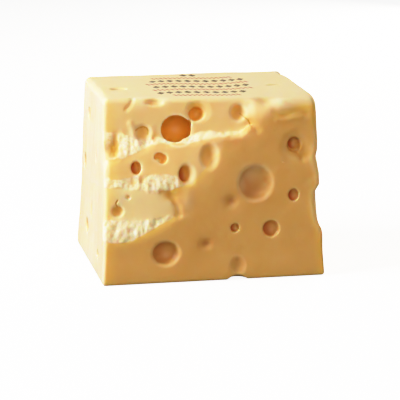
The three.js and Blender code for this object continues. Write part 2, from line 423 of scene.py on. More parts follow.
BUBBLES = [make_eye(side, *eye) for side, eyes in EYES.items() for eye in eyes]


def bubble_distance(bubble, x, y, z):
    """How far a place is outside an ellipsoid."""
    place = [value - middle for value, middle in zip((x, y, z), bubble.centre)]
    near = np.sqrt(sum((d / r) ** 2 for d, r in zip(place, bubble.radii)))
    steep = np.sqrt(sum((d / (r * r)) ** 2 for d, r in zip(place, bubble.radii)))
    return near * (near - 1) / np.maximum(steep, 1e-6)


def eye_distance(bubble, x, y, z):
    """How far a place is outside an eye, which may have a floor."""
    distance = bubble_distance(bubble, x, y, z)
    if bubble.floor:
        floor, dome = bubble.floor
        middle, mouth = bubble.opening, bubble.mouth
        away = ((x - middle[0]) / mouth[0]) ** 2 + ((z - middle[2]) / mouth[2]) ** 2
        distance = smooth_max(distance, y - middle[1] - floor - dome * away, FLOOR_ROUNDING)
    return distance


# ---------- The front's dimples, cracks, folds and flakes ----------

# Soft dimples as (x, z, deep, wide, tall). One of negative depth is a swelling.
DIMPLES = (
    (-53, 71.5, 1, 2, 2.6), (-47, 72.5, 1, 1.6, 2.6), (-65, 40, 1, 2.4, 2), (-55, 38.5, 1, 2.4, 2),
    (-39, 42.8, 0.9, 1.6, 2), (-72.5, 90, 3.5, 5, 6), (-65, 94, 4.4, 4, 6), (-62.6, 100.4, 2, 2.8, 4.5),
    (-36, 100, 1.4, 1.8, 3), (38.4, 127.5, 4.2, 5, 3.4), (50.5, 125, -0.9, 5, 5),
    (65.5, 121.8, 0.5, 7.5, 4), (-27.5, 61.6, 1.3, 5, 3), (-16, 58.5, -0.5, 4, 6),
    (66.5, 87.5, 1.4, 3.4, 5), (15, 56.8, 0.6, 6, 6), (15, 56.8, 1.7, 3.2, 3.2), (-2.8, 26.9, 0.6, 6, 6),
    (-2.8, 26.9, 1.7, 3.2, 2.6), (33, 107, 0.8, 2.6, 2.6),
)

# Cracks as lists of (x, z), with half their width and how deep they go.
CRACKS = (
    (((22.6, 116.4), (25.4, 114.2), (27.8, 112.4), (28.8, 109.8)), 0.35, 1.5),
    (((-63.6, 54.5), (-64.6, 57), (-63.4, 59.4)), 0.3, 1),
    (((-49, 106), (-46.8, 107.4), (-43.8, 108.2), (-41.4, 107.4), (-40.4, 105.2), (-40.8, 103)), 0.4, 1.4),
)

# Folds, which are soft grooves, in the same way. One of negative depth is a ridge.
FOLDS = (
    (((44, 118.8), (49, 116.4), (54, 116.2), (59, 118), (63, 118.2), (67.5, 117)), 1.8, 0.35),
    (((59.8, 93), (62, 89.6), (65.4, 86.2)), 2.2, 0.9),
    (((-33, 64.4), (-28.6, 63), (-25.2, 59.4), (-22.9, 55), (-22.2, 49)), 2.2, 1.3),
    (((-55.2, 120.4), (-52.8, 123.2), (-50.8, 127)), 1.5, 0.7),
    (((-52.8, 110.6), (-51.4, 107), (-50.6, 103), (-48.4, 99.4), (-45, 98.2)), 2.2, -1),
    (((-39, 107.6), (-38.2, 104.6), (-39, 101.6)), 2, -0.4),
    (((47, 113.2), (53, 112.6), (58, 114), (63, 114.2)), 2, -0.4),
)

# Small lumps of paste as (x, z, rise) and their radii: rise is how far their middle is before the surface.
FLAKES = (((-35.4, 85.4, -2.3), (2.8, 2.6, 2.2)),)

# How roundly a crack's and a flake's sides meet the surface.
CRACK_ROUNDING = 0.3
FLAKE_ROUNDING = 0.8


def from_path(path, x, z):
    """How far a place is from a path, seen from the front."""
    nearest = np.inf
    for (x0, z0), (x1, z1) in zip(path, path[1:]):
        length = math.hypot(x1 - x0, z1 - z0)
        share = np.clip(((x - x0) * (x1 - x0) + (z - z0) * (z1 - z0)) / length**2, 0, 1)
        nearest = np.minimum(nearest, np.hypot(x - mix(x0, x1, share), z - mix(z0, z1, share)))
    return nearest


def path_box(path, margin, above, below):
    """The box round a path, from above millimetres in front of the surface to below millimetres behind it."""
    floors = [front_surface(x, z) for x, z in path]
    across, up = zip(*path)
    low = (min(across) - margin, min(floors) - above, min(up) - margin)
    high = (max(across) + margin, max(floors) + below, max(up) + margin)
    return np.array(low), np.array(high)


def round_box(middle, reach):
    return middle - reach, middle + reach


# ---------- The field as a list of cuts ----------

# A cut is the two corners of the box that it reaches, and how it changes the distance there.


def cut_chip(chip):
    def cut(distance, x, y, z):
        return smooth_max(distance, -chip_distance(chip, x, y, z), CHIP_ROUNDING)

    return (-90, -60, 20), (60, -25, 135), cut


def cut_bubble(bubble):
    def cut(distance, x, y, z):
        return smooth_max(distance, -eye_distance(bubble, x, y, z), bubble.soft)

    return *round_box(bubble.centre, bubble.radii + bubble.soft + 1), cut


def cut_dimple(dimple):
    x0, z0, deep, wide, tall = dimple
    middle = np.array([x0, front_surface(x0, z0), z0])

    def cut(distance, x, y, z):
        spread = ((x - x0) / wide) ** 2 + ((y - middle[1]) / wide) ** 2 + ((z - z0) / tall) ** 2
        return distance + deep * np.exp(-spread)

    return *round_box(middle, 2.6 * np.array([wide, wide, tall])), cut


def cut_fold(fold):
    path, half_width, deep = fold

    def cut(distance, x, y, z):
        return distance + deep * bell(from_path(path, x, z), half_width)

    return *path_box(path, 3 * half_width + 1, 4, 4), cut


def cut_crack(crack):
    path, half_width, deep = crack
    floors = [(z, front_surface(x, z) + deep) for x, z in path]

    def cut(distance, x, y, z):
        floor = along(sorted(floors), z)
        narrowing = half_width * np.clip((floor - y) / deep, 0, 1.5)
        wall = from_path(path, x, z) - narrowing
        return smooth_max(distance, -np.maximum(wall, y - floor), CRACK_ROUNDING)

    return *path_box(path, 1.5 * half_width + 1, 4, deep + 1), cut


def add_flake(flake):
    (x0, z0, rise), radii = flake
    middle = np.array([x0, front_surface(x0, z0) - rise, z0])
    lump = SimpleNamespace(centre=middle, radii=np.array(radii))

    def add(distance, x, y, z):
        return -smooth_max(-distance, -bubble_distance(lump, x, y, z), FLAKE_ROUNDING)

    return *round_box(middle, lump.radii + 2), add


CHIP_CUTS = [cut_chip(chip) for chip in CHIPS]
CUTTERS = (
    (cut_bubble, BUBBLES), (cut_dimple, DIMPLES), (cut_fold, FOLDS), (cut_crack, CRACKS), (add_flake, FLAKES),
)
OTHER_CUTS = [cutter(thing) for cutter, things in CUTTERS for thing in things]


def cut_grid(distance, axes, cuts):
    """Applies the cuts to a field sampled on a grid."""
    for low, high, cut in cuts:
        spans = tuple(slice(*np.searchsorted(axis, (a, b))) for axis, a, b in zip(axes, low, high))
        places = np.ix_(*(axis[span] for axis, span in zip(axes, spans)))
        distance[spans] = cut(distance[spans], *places)
    return distance


def cut_points(distance, points, cuts):
    """Applies the cuts to distances at single points."""
    for low, high, cut in cuts:
        reached = np.all((points > low) & (points < high), axis=1)
        x, y, z = points[reached].T
        distance[reached] = cut(distance[reached], x, y, z)
    return distance


def skin_distance(points):
    """How far points are outside the block without its eyes."""
    return cut_points(block_distance(*points.T), points, CHIP_CUTS)


def cheese_distance(points):
    """How far points are outside the cheese."""
    return cut_points(skin_distance(points), points, OTHER_CUTS)


# ---------- The field as a mesh ----------


def crossing_means(field, axes, cells):
    """The mean of the places where each cell's edges cross the field's zero level."""
    total = np.zeros((len(cells), 3))
    crossings = np.zeros(len(cells))
    for step in np.eye(3, dtype=int):
        for corner in CORNERS:
            if step @ corner:
                continue
            start, end = tuple((cells + corner).T), tuple((cells + corner + step).T)
            here, there = field[start], field[end]
            crossed = (here < 0) != (there < 0)
            share = np.where(crossed, here / np.where(crossed, here - there, 1), 0)
            for n in range(3):
                place = axes[n][start[n]] + share * (axes[n][end[n]] - axes[n][start[n]])
                total[:, n] += np.where(crossed, place, 0)
            crossings += crossed
    return total / crossings[:, None]


def surface_net(field, axes):
    """The field's zero level as vertices and quads: one vertex in each cell that it passes through."""
    inside = field < 0
    shape = tuple(n - 1 for n in field.shape)
    count = sum(
        inside[i : i + shape[0], j : j + shape[1], k : k + shape[2]].astype(np.uint8) for i, j, k in CORNERS
    )
    cells = np.argwhere((count > 0) & (count < 8))
    number = np.full(shape, -1, np.int32)
    number[tuple(cells.T)] = np.arange(len(cells))

    quads = []
    for axis in range(3):
        u, v = np.roll(np.eye(3, dtype=int), -axis - 1, axis=0)[:2]
        edges = np.argwhere(np.diff(inside, axis=axis))
        out = inside[tuple(edges.T)]
        around = [number[tuple((edges + step).T)] for step in (-u - v, -v, 0 * u, -u)]
        ring = np.stack(around, axis=1)
        ring[~out] = ring[~out][:, ::-1]
        quads.append(ring)
    return crossing_means(field, axes, cells), np.concatenate(quads)


def gradient(points, reach=0.08):
    """How fast the distance from the cheese grows along each axis."""
    steps = np.eye(3) * reach
    changes = [cheese_distance(points + step) - cheese_distance(points - step) for step in steps]
    return np.stack(changes, axis=1) / (2 * reach)


def settle(points, rounds=2, most=0.4):
    """Moves points on to the field's zero level, by at most so many millimetres a round."""
    for _ in range(rounds):
        slope = gradient(points)
        steepness = np.maximum(np.sum(slope * slope, axis=1), 0.2)
        move = -(cheese_distance(points) / steepness)[:, None] * slope
        points = points + np.clip(move, -most, most)
    return points


def roughen(points):
    """Crumbles the torn ledges, and gives the cut faces the faint waves that a knife leaves."""
    slope = gradient(points)
    normal = slope / np.maximum(np.linalg.norm(slope, axis=1), 1e-3)[:, None]
    x, y, z = points.T
    torn = torn_share(points)
    waves = noise(KNIFE_NOISE, x, y, z) * (1 - torn) * ease(z, 1, 8)
    return points + normal * (torn * noise(CRUMB_NOISE, x, y, z) - INSET + waves)[:, None]


def make_mesh():
    """The cheese's surface as a mesh of quads, in metres."""
    reach = 3 * STEP
    front_end = -DEPTH / 2 + FINE_DEPTH
    fine = np.arange(-DEPTH / 2 - reach, front_end, STEP)
    coarse = np.arange(front_end, DEPTH / 2 + 2 * BACK_STEP, BACK_STEP)
    axes = [
        np.arange(-WIDTH / 2 - reach, WIDTH / 2 + reach, STEP),
        np.concatenate([fine, coarse]),
        np.arange(-reach, HEIGHT + reach, STEP),
    ]
    field = block_distance(*np.ix_(*axes)).astype(np.float32)
    field = cut_grid(field, axes, CHIP_CUTS + OTHER_CUTS)
    points, quads = surface_net(field, axes)
    points = roughen(settle(points))
    points = np.clip(points * MM, np.array(box_low) + SLACK, np.array(box_high) - SLACK)

    mesh = bpy.data.meshes.new("cheese")
    mesh.vertices.add(len(points))
    mesh.vertices.foreach_set("co", points.astype(np.float32).ravel())
    mesh.loops.add(quads.size)
    mesh.loops.foreach_set("vertex_index", quads.astype(np.int32).ravel())
    mesh.polygons.add(len(quads))
    mesh.polygons.foreach_set("loop_start", np.arange(0, quads.size, 4, dtype=np.int32))
    mesh.update(calc_edges=True)
    return mesh


def add_object(name, data):
    thing = bpy.data.objects.new(name, data)
    bpy.context.scene.collection.objects.link(thing)
    return thing


def thin(mesh):
    """The mesh with fewer triangles, which stay small where the surface bends."""
    holder = add_object("thinning", mesh)
    modifier = holder.modifiers.new("decimate", "DECIMATE")
    modifier.ratio = min(1, TRIANGLES / (2 * len(mesh.polygons)))
    view = bpy.context.evaluated_depsgraph_get()
    thinned = bpy.data.meshes.new_from_object(holder.evaluated_get(view))
    bpy.data.objects.remove(holder)
    bpy.data.meshes.remove(mesh)
    return thinned


# ---------- What the vertices carry for the material: shares from 0 to 1, and a depth ----------

# What is only on the front is left out where -Y is under this.
FRONT_PART = 28

# Soft patches of the front as (x, z, wide, tall, share): where it is soft and white, partly pale paste and
# partly painted highlight on walls and lips that face the light,
WHITE_AND_HIGHLIGHT_PATCHES = (
    (50, 126, 8.5, 6, 1), (28.5, 121, 4.5, 5.5, 1), (38, 121.5, 8, 5, 0.5), (-69.5, 90.5, 3, 6, 0.9),
    (-15, 57.5, 3.8, 7.5, 0.35), (-23.2, 52.3, 1.8, 4, 0.3), (-8, 84.5, 8, 8, 0.2), (29, 75, 8, 6, 0.3),
    (22.6, 70, 3.4, 9, 0.35), (31, 79.6, 9, 3.4, 0.35), (20, 103.6, 8, 2.4, 0.5), (29, 108.5, 3.4, 4, 0.15),
    (-45.5, 125, 5.5, 4, 0.7), (-30, 126, 3.6, 3, 0.6), (-51, 104.5, 2.6, 6, 0.6), (-38, 104.6, 2, 4, 0.4),
    (4.6, 91, 3, 6, 0.4), (-11.6, 77, 2.4, 6, 0.5), (-45.8, 81, 2, 4.5, 0.4),
)

# where a glow is painted on for light that comes through it near the rind,
PAINTED_GLOW_PATCHES = (
    (66, 122, 10, 4.6, 1), (54, 118, 8, 2.8, 0.9), (-66, 101.5, 4, 4, 0.9), (-8.1, 122.6, 6.5, 4.4, 1),
)

# where warm shade is painted in its dips, grooves and hollows,
WARM_SHADE_PATCHES = (
    (38.4, 127, 4, 3, 0.6), (33, 107, 2.6, 2.6, 0.5), (29, 110, 1.3, 1.3, 0.9), (-65.2, 93, 5, 8, 1),
    (-63.9, 51.4, 3, 3, 0.8), (-53, 71.5, 2, 2.6, 0.6), (-47, 72.5, 1.6, 2.6, 0.6),
    (-36, 100.2, 1.8, 3.4, 0.7), (50.5, 116, 3, 1.4, 0.6), (65, 117.4, 3, 1.4, 0.6),
    (-27.6, 61.8, 5, 2.8, 0.8), (-26, 59.6, 3.2, 3, 0.8), (28.8, 112.5, 4, 5, 0.5), (63, 92.4, 5, 4.4, 0.5),
    (67, 87, 3.6, 3.6, 0.6),
)

# and the dark middles of its dimples.
DARK_SPOTS = (
    (15, 56.8, 3.4, 3.2, 0.4), (15, 56.8, 7, 6.5, 0.18), (-2.8, 26.9, 3.4, 2.6, 0.46),
    (-2.8, 26.9, 7, 6, 0.2), (19.4, 14.6, 2, 2, 0.45), (19.7, 10.8, 4.5, 6, 0.2),
    (29, 109.5, 1.2, 1.6, 0.3), (62.4, 91.4, 3.6, 3, 0.22), (-20.7, 58.4, 2.6, 3.4, 0.18),
    (28.8, 111.4, 3.6, 4.4, 0.24), (12, 99.8, 10, 4, 0.2), (34, 58, 10, 4, 0.24), (41.5, 66, 3, 8, 0.1),
    (-23, 19.4, 3.4, 7, 0.24),
)

# The top ledge turns from torn to smooth and white over the first stretch of X. The white ends over the
# second one, of -X.
TOP_LEDGE_TURN = (-10, 0)
TOP_LEDGE_END = (-27, -19)

# The front's side edges have a painted highlight strip down them: its width, and how it swells near one
# height.
HIGHLIGHT_STRIP_WIDTH = 2.6
HIGHLIGHT_STRIP_SWELL = 2.4
SWELL_HEIGHT = 84
SWELL_REACH = 12

# How far the glow painted for light through a broken edge reaches to its lower right, as (x, z, share).
PAINTED_GLOW_STEPS = ((0.7, 1, 0.4), (1.6, 2.4, 0.35), (2.6, 4, 0.25))

# Eyes of the front that are deeper and lower than this get red shade painted on their left sides.
SHADED_EYE_DEPTH = 3.4
SHADED_EYE_TOP = 100


def on_front(y, fade=1):
    """Whether a point is on the front part, which fades in over some millimetres."""
    return ease(-y, FRONT_PART, FRONT_PART + fade)


def ledge_share(chip, points, low=-0.6, high=1):
    """How much of each point is between a ledge's head and its foot, with ragged borders."""
    x, y, z = points.T
    ragged = noise(BORDER_NOISE, x, z, 0 * x)
    head = along(chip["head"], x) + ragged
    foot = along(chip["foot"], x) + ragged
    last = min(chip["head"][-1][0], chip["foot"][-1][0])
    in_front = ease(fracture_face(chip, x, z) - y, -1, 0.2) * ease(last - x, 0, 5)
    return ease(z - foot, low, high) * ease(head - z, -0.8, 0.8) * in_front


def patch_share(patches, x, y, z):
    """The largest share of some soft patches, which end behind the front's surface."""
    share = 0 * x
    for x0, z0, wide, tall, most in patches:
        near = ease(front_surface(x0, z0) + 9 - y, 0, 6)
        spread = -(((x - x0) / wide) ** 2) - ((z - z0) / tall) ** 2
        share = np.maximum(share, most * near * np.exp(spread))
    return share


def plateau_share(x, z):
    """How pale the broken paste is at a place on the front: 0 where no piece is broken off."""
    share = np.zeros(len(x))
    for chip in CHIPS[::-1]:
        broken = ease(recess_of(chip, x, z), -0.1, 0.3)
        above = ease(z - along(chip["foot"], x), -0.6, 0.6)
        before = ease(along(chip["edge"], z) - x, -0.8, 0.8)
        share = mix(share, chip["fresh"], broken * above * before)
    return share


def torn_share(points):
    """How torn and crumbly the paste is."""
    shares = [ledge_share(chip, points) for chip in CHIPS]
    shares[0] = shares[0] * (1 - 0.9 * ease(points[:, 0], *TOP_LEDGE_TURN))
    return np.maximum.reduce(shares) * on_front(points[:, 1])


def pale_and_highlight_share(points):
    """How smooth but white it is: the top ledge's right part, the white patches, partly painted highlight,
    and the painted highlight strips down the sides.
    """
    x, y, z = points.T
    share = ledge_share(CHIPS[0], points, -1.5, 1.5) * ease(x, *TOP_LEDGE_TURN)
    share = np.maximum(share * ease(-x, *TOP_LEDGE_END), patch_share(WHITE_AND_HIGHLIGHT_PATCHES, x, y, z))
    highlight_strip = HIGHLIGHT_STRIP_WIDTH + noise(HIGHLIGHT_STRIP_NOISE, y, z, 0 * x) + HIGHLIGHT_STRIP_SWELL * bell(z - SWELL_HEIGHT, SWELL_REACH)
    inward = x - left_face(y, z)
    edge = ease(highlight_strip - inward, -1.4, 1.4) * ease(inward, 0.2, 1.4) * ease(z, 24, 30)
    share = np.maximum(share, 0.7 * edge)
    outward = right_face(y, z) - x
    edge = ease(highlight_strip + 2 - outward, -1.4, 2.6) * ease(outward, 0.2, 1.4) * ease(z, 24, 36)
    share = np.maximum(share, 0.4 * edge * ease(-z, -112, -100))
    return share * on_front(y)


def fresh_share(points):
    """How pale the broken paste is, and the block's own paste none of it."""
    x, y, z = points.T
    return plateau_share(x, z) * ease(-y, 20, 22)


def painted_glow_share(points):
    """How much glow is painted on for light through the paste: from a broken edge up to its left, or from a
    side face.
    """
    x, y, z = points.T
    broken = ease(plateau_share(x, z), 0, 0.2)
    lit = sum(share * ease(plateau_share(x - left, z + up), 0, 0.2) for left, up, share in PAINTED_GLOW_STEPS)
    glow = 0.8 * np.clip(lit - broken, 0, 1) * (1 - 0.85 * ease(x, -6, 12))
    wavy = noise(PAINTED_GLOW_NOISE, y, z, 0 * x)
    for inward, reach in ((right_face(y, z) - x, (-8, -2)), (x - left_face(y, z), (-12, -3))):
        through = ease(wavy - inward, *reach) * ease(inward, 0.3, 1.5)
        glow = np.maximum(glow, 0.6 * through)
    glow = np.maximum(glow, patch_share(PAINTED_GLOW_PATCHES, x, y, z))
    return glow * on_front(y)


def in_cracks(x, z, margin):
    """How far a place is inside the cracks, widened by a margin."""
    inside = 0 * x
    for path, half_width, _ in CRACKS:
        away = from_path(path, x, z)
        inside = np.maximum(inside, ease(-away, -half_width - margin, -half_width * 0.4))
    return inside


def warm_shade_share(points):
    """How much warm shade is painted: in the shade patches, and in the insides of the cracks."""
    x, y, z = points.T
    return np.maximum(patch_share(WARM_SHADE_PATCHES, x, y, z), in_cracks(x, z, 0.5)) * on_front(y, 2)


def red_shade_and_spot_share(points):
    """How much red shade is painted: on the left sides of the small deep eyes on the front and in the cracks,
    and the dark spots.
    """
    x, y, z = points.T
    cracks = 0.3 * in_cracks(x, z, 0.3) * on_front(y, 2)
    red_shade_and_spots = np.maximum(patch_share(DARK_SPOTS, x, y, z), cracks)
    for bubble in BUBBLES:
        middle, mouth = bubble.opening, bubble.mouth
        is_front = bubble.axis == 1 and bubble.sign < 0
        if not is_front or bubble.deep < SHADED_EYE_DEPTH or middle[2] > SHADED_EYE_TOP:
            continue
        reached = np.all(np.abs(points - middle) < mouth + 4, axis=1)
        across, depth, up = ((points[reached] - middle) / (mouth[0], 1, mouth[2])).T
        within = ease(-across * across - up * up, -1.3, -0.9) * ease(depth, 0.8, 2.4)
        small = 1 - 0.6 * ease(mouth[0], 4.5, 8)
        shaded = small * within * ease(-across - 0.3 * up, -0.6, 0.7)
        red_shade_and_spots[reached] = np.maximum(red_shade_and_spots[reached], shaded)
    return red_shade_and_spots


def painted_rim_light_share(points):
    """How much highlight is painted round the rim of an eye, stronger round big ones."""
    painted_rim_light = np.zeros(len(points))
    for bubble in BUBBLES:
        axis = bubble.axis
        reached = np.all(np.abs(points - bubble.opening) < bubble.mouth + 5, axis=1)
        offset = (points[reached] - bubble.opening) / bubble.mouth
        offset[:, axis] = 0
        mouth = np.mean(bubble.mouth)
        away = (np.linalg.norm(offset, axis=1) - 1) * mouth
        deep = -bubble.sign * (points[reached][:, axis] - bubble.opening[axis])
        near = bell(away - 0.5, 0.8 + 0.3 * bubble.soft) * ease(-deep, -2.5, 0)
        painted_rim_light[reached] = np.maximum(painted_rim_light[reached], near * (0.5 + 0.5 * ease(mouth, 7, 11)))
    return painted_rim_light


def depth_share(points):
    """How many millimetres deep in an eye it is."""
    return np.maximum(-skin_distance(points) - 0.3, 0)


def rind_share(points):
    x, y, z = points.T
    return ease(z - top_face(x, y), -4.5, -0.4)


def side_and_sheen_share(points):
    """How near it is to the left side, whose paler colour is partly cut paste and partly painted sheen."""
    x, y, z = points.T
    return ease(left_face(y, z) - x, -2.5, -0.5)


SHARES = {
    "torn": torn_share, "pale_and_highlight": pale_and_highlight_share, "deep": depth_share, "painted_rim_light": painted_rim_light_share, "warm_shade": warm_shade_share,
    "red_shade_and_spots": red_shade_and_spot_share, "glow": painted_glow_share, "fresh": fresh_share, "rind": rind_share, "side": side_and_sheen_share,
}


def make_cheese():
    mesh = thin(make_mesh())
    points = np.empty(len(mesh.vertices) * 3, np.float32)
    mesh.vertices.foreach_get("co", points)
    points = points.reshape(-1, 3).astype(np.float64) / MM
    for name, share in SHARES.items():
        attribute = mesh.attributes.new(name, "FLOAT", "POINT")
        attribute.data.foreach_set("value", share(points).astype(np.float32))
    mesh.polygons.foreach_set("use_smooth", np.ones(len(mesh.polygons), bool))
    mesh.update()
    return add_object("cheese", mesh)


# ---------- Materials ----------


def colour(red, green, blue):
    """An sRGB colour of 0 to 255 as the linear one that shaders take."""
    linear = [((c / 255 + 0.055) / 1.055) ** 2.4 if c > 10 else c / 255 / 12.92 for c in (red, green, blue)]
    return (*linear, 1)


def operator(operation, swapped=False):
    """A Value's method that makes a maths node."""

    def method(self, other=0):
        return self.graph.math(operation, *((other, self) if swapped else (self, other)))

    return method


class Value:
    """A number in a shader, which is reckoned with as plain numbers are."""

    def __init__(self, graph, source):
        self.graph = graph
        self.source = source

    __add__ = operator("ADD")
    __sub__ = operator("SUBTRACT")
    __rsub__ = operator("SUBTRACT", swapped=True)
    __mul__ = operator("MULTIPLY")
    __truediv__ = operator("DIVIDE")
    __lt__ = operator("LESS_THAN")
    __abs__ = operator("ABSOLUTE")


class Graph:
    """The nodes of a material or a world, with short ways to make and join them."""

    def __init__(self, owner):
        owner.use_nodes = True
        self.owner = owner
        self.tree = owner.node_tree
        self.tree.nodes.clear()

    def put(self, socket, value):
        """Sets an input to a number or colour, or joins it to an output: a node stands for its first one."""
        value = value.source if isinstance(value, Value) else value
        value = value.outputs[0] if isinstance(value, bpy.types.Node) else value
        if isinstance(value, bpy.types.NodeSocket):
            self.tree.links.new(value, socket)
        else:
            socket.default_value = value

    def node(self, kind, inputs=None, **settings):
        node = self.tree.nodes.new("ShaderNode" + kind)
        for name, value in settings.items():
            setattr(node, name, value)
        for name, value in (inputs or {}).items():
            self.put(node.inputs[name], value)
        return node

    def math(self, operation, *values):
        return Value(self, self.node("Math", dict(enumerate(values)), operation=operation))

    def attribute(self, name):
        return Value(self, self.node("Attribute", attribute_name=name).outputs["Fac"])

    def axes(self, coordinates):
        split = self.node("SeparateXYZ", {"Vector": coordinates})
        return [Value(self, output) for output in split.outputs]

    def noise(self, coordinates, kind):
        scale, detail, roughness = kind
        inputs = {"Vector": coordinates, "Scale": scale, "Detail": detail, "Roughness": roughness}
        return Value(self, self.node("TexNoise", inputs))

    def ramp(self, value, low, high, start=0, end=1):
        """From start to end as the value goes from low to high."""
        inputs = {"Value": value, "From Min": low, "From Max": high, "To Min": start, "To Max": end}
        return Value(self, self.node("MapRange", inputs, interpolation_type="SMOOTHSTEP"))

    def blend(self, share, first, second):
        """The first colour, with a share of the second over it."""
        return self.node("Mix", {0: share, 6: first, 7: second}, data_type="RGBA").outputs[2]

    def mix_shaders(self, share, first, second):
        return self.node("MixShader", {0: share, 1: first, 2: second})


PASTE = colour(230, 180, 98)
FRESH = colour(241, 216, 159)
TORN = colour(252, 239, 205)
# Pale paste, also laid on as painted highlight.
PALE_AND_HIGHLIGHT = colour(252, 235, 192)
RIND = colour(236, 209, 158)
# The left side's colour: paler cut paste, with painted sheen in it.
SIDE_AND_SHEEN = colour(236, 205, 162)
# Painted glow, for light that comes through the paste.
PAINTED_GLOW = colour(247, 209, 96)
# Eye colours laid on by depth are painted: warm light bounced in shallow hollows, and shade deeper in.
SHALLOW_EYE_BOUNCE = colour(244, 190, 84)
DEEP_EYE_SHADE = colour(230, 158, 54)
DULL_EYE_SHADE = colour(220, 166, 94)
# Painted red shade, for the eyes' shaded left sides and the cracks, and the dark spots' colour.
RED_SHADE_AND_SPOTS = colour(176, 62, 26)
# Painted warm shade, for dips, grooves, hollows and cracks.
WARM_SHADE = colour(218, 164, 56)
RED_INK = colour(176, 66, 62)
DARK_INK = colour(62, 50, 44)

# How much of what is under them the painted glow, red shade, pale and highlight, and warm shade layers and
# the two inks cover at most.
LAYER_COVER = 0.85
RED_COVER = 0.9
DARK_COVER = 0.95

# Noises as (scale for a metre, detail, roughness). The upright streaks' one is stretched along Z.
CLOUDS = (26, 3, 0.5)
MOTTLE = (130, 4, 0.6)
STREAKS = (90, 3, 0.6)
STREAK_STRETCH = (1, 1, 0.12)
TORN_PATCHES = (420, 3, 0.5)
INK_WEAR = (700, 3, 0.7)
GRAIN = (900, 3, 0.6)
RIPPLES = (220, 2, 0.5)
CRUMBS = (1100, 4, 0.65)
FLOOR_CLOUDS = (4, 2, 0.5)

# The pattern on the rind, in millimetres: wavy rows, of slanting red strokes and of dark diamonds in turn. A
# pitch is the distance from one to the next, and a shift is how much of it each row moves by. A half is half
# of one's width, as a share of the pitch, and half of its height. They fill an oval of these half sizes,
# whose middle is moved by these shares of them.
ROW_PITCH = 10.5
ROW_SWING = 2.4
ROW_WAVE = 11
STROKE_PITCH = 3.1
STROKE_SHIFT = 0.37
STROKE_SLANT = 0.45
STROKE_HALF = (0.27, 2.6)
DIAMOND_PITCH = 6.4
DIAMOND_SHIFT = 0.5
DIAMOND_HALF = (0.46, 4.2)
OVAL_HALF = (37, 39)
OVAL_MOVE = (0.05, 0.08)


def stamp(graph, x, y):
    """The inked pattern as (red share, dark share)."""
    wavy = y + graph.math("SINE", x / ROW_WAVE) * ROW_SWING
    row = graph.math("ROUND", wavy / ROW_PITCH)
    off_row = wavy - row * ROW_PITCH
    red_cell = (x + off_row * STROKE_SLANT) / STROKE_PITCH + row * STROKE_SHIFT
    dark_cell = x / DIAMOND_PITCH + row * DIAMOND_SHIFT

    def from_middle(cell):
        return abs(graph.math("FRACT", cell) - 0.5)

    def in_oval(cell, pitch, shift):
        """Whether a whole stroke or diamond is in the oval, by its middle."""
        across = graph.math("FLOOR", cell) + 0.5 - row * shift
        wide = across * (pitch / OVAL_HALF[0]) - OVAL_MOVE[0]
        tall = row * (ROW_PITCH / OVAL_HALF[1]) - OVAL_MOVE[1]
        return graph.math("POWER", abs(wide), 3) + tall * tall < 1

    stroke = (abs(off_row) < STROKE_HALF[1]) * (from_middle(red_cell) < STROKE_HALF[0])
    diamond = abs(off_row) / DIAMOND_HALF[1] + from_middle(dark_cell) / DIAMOND_HALF[0] < 1
    even = abs(graph.math("WRAP", row, 1, -1)) < 0.5
    red = stroke * (1 - even) * in_oval(red_cell, STROKE_PITCH, STROKE_SHIFT)
    return red, diamond * even * in_oval(dark_cell, DIAMOND_PITCH, DIAMOND_SHIFT)


def ink_shares(graph, place, rind):
    """How much of the red and of the dark ink lies on the rind, a little worn."""
    x, y, _ = graph.axes(place)
    red, dark = stamp(graph, x * (1 / MM), y * (1 / MM))
    ink = rind * graph.ramp(graph.noise(place, INK_WEAR), 0.3, 0.55, 0.5, 1)
    return red * ink * RED_COVER, dark * ink * DARK_COVER


def cheese_colour(graph, place, mottle, share):
    """The cheese's colour: each layer covers a share of those before it."""
    deep, broken = share["deep"], graph.ramp(share["fresh"], 0, 0.2)
    upright = graph.node("Mapping", {"Vector": place, "Scale": STREAK_STRETCH})
    streak = graph.ramp(graph.noise(upright, STREAKS), 0.3, 0.7, 0, 0.35)
    patchy = share["torn"] * graph.ramp(graph.noise(place, TORN_PATCHES), 0.35, 0.6, 0.4, 0.95)
    red, dark = ink_shares(graph, place, share["rind"])
    layers = (
        (share["fresh"], FRESH),
        (graph.ramp(graph.noise(place, CLOUDS), 0.3, 0.7, 0, 0.1), FRESH),
        (graph.ramp(mottle, 0.35, 0.75, 0, 0.07), FRESH),
        # painted glow for light through the paste
        (share["glow"] * LAYER_COVER, PAINTED_GLOW),
        # painted highlight ring round the eyes' rims
        (share["painted_rim_light"] * graph.ramp(broken, 0, 1, 0.2, 0.5), TORN),
        # painted bounce light and shade in the eyes, by depth
        (graph.ramp(deep, 0.2, 2.2, 0, 0.7), graph.blend(broken, DULL_EYE_SHADE, SHALLOW_EYE_BOUNCE)),
        (graph.ramp(deep, 1.8, 5, 0, 0.85), graph.blend(broken, DULL_EYE_SHADE, DEEP_EYE_SHADE)),
        # painted red shade, and the dark spots
        (share["red_shade_and_spots"] * LAYER_COVER, RED_SHADE_AND_SPOTS),
        # the left side: cut paste and painted sheen
        (share["side"], graph.blend(streak, SIDE_AND_SHEEN, TORN)),
        (share["rind"], RIND),
        (patchy * graph.ramp(deep, 0.8, 2.4, 1, 0), TORN),
        # pale paste and painted highlight
        (share["pale_and_highlight"] * LAYER_COVER, PALE_AND_HIGHLIGHT),
        # painted warm shade
        (share["warm_shade"] * LAYER_COVER, WARM_SHADE),
        (red, RED_INK),
        (dark, DARK_INK),
    )
    base = PASTE
    for cover, tint in layers:
        base = graph.blend(cover, base, tint)
    return base


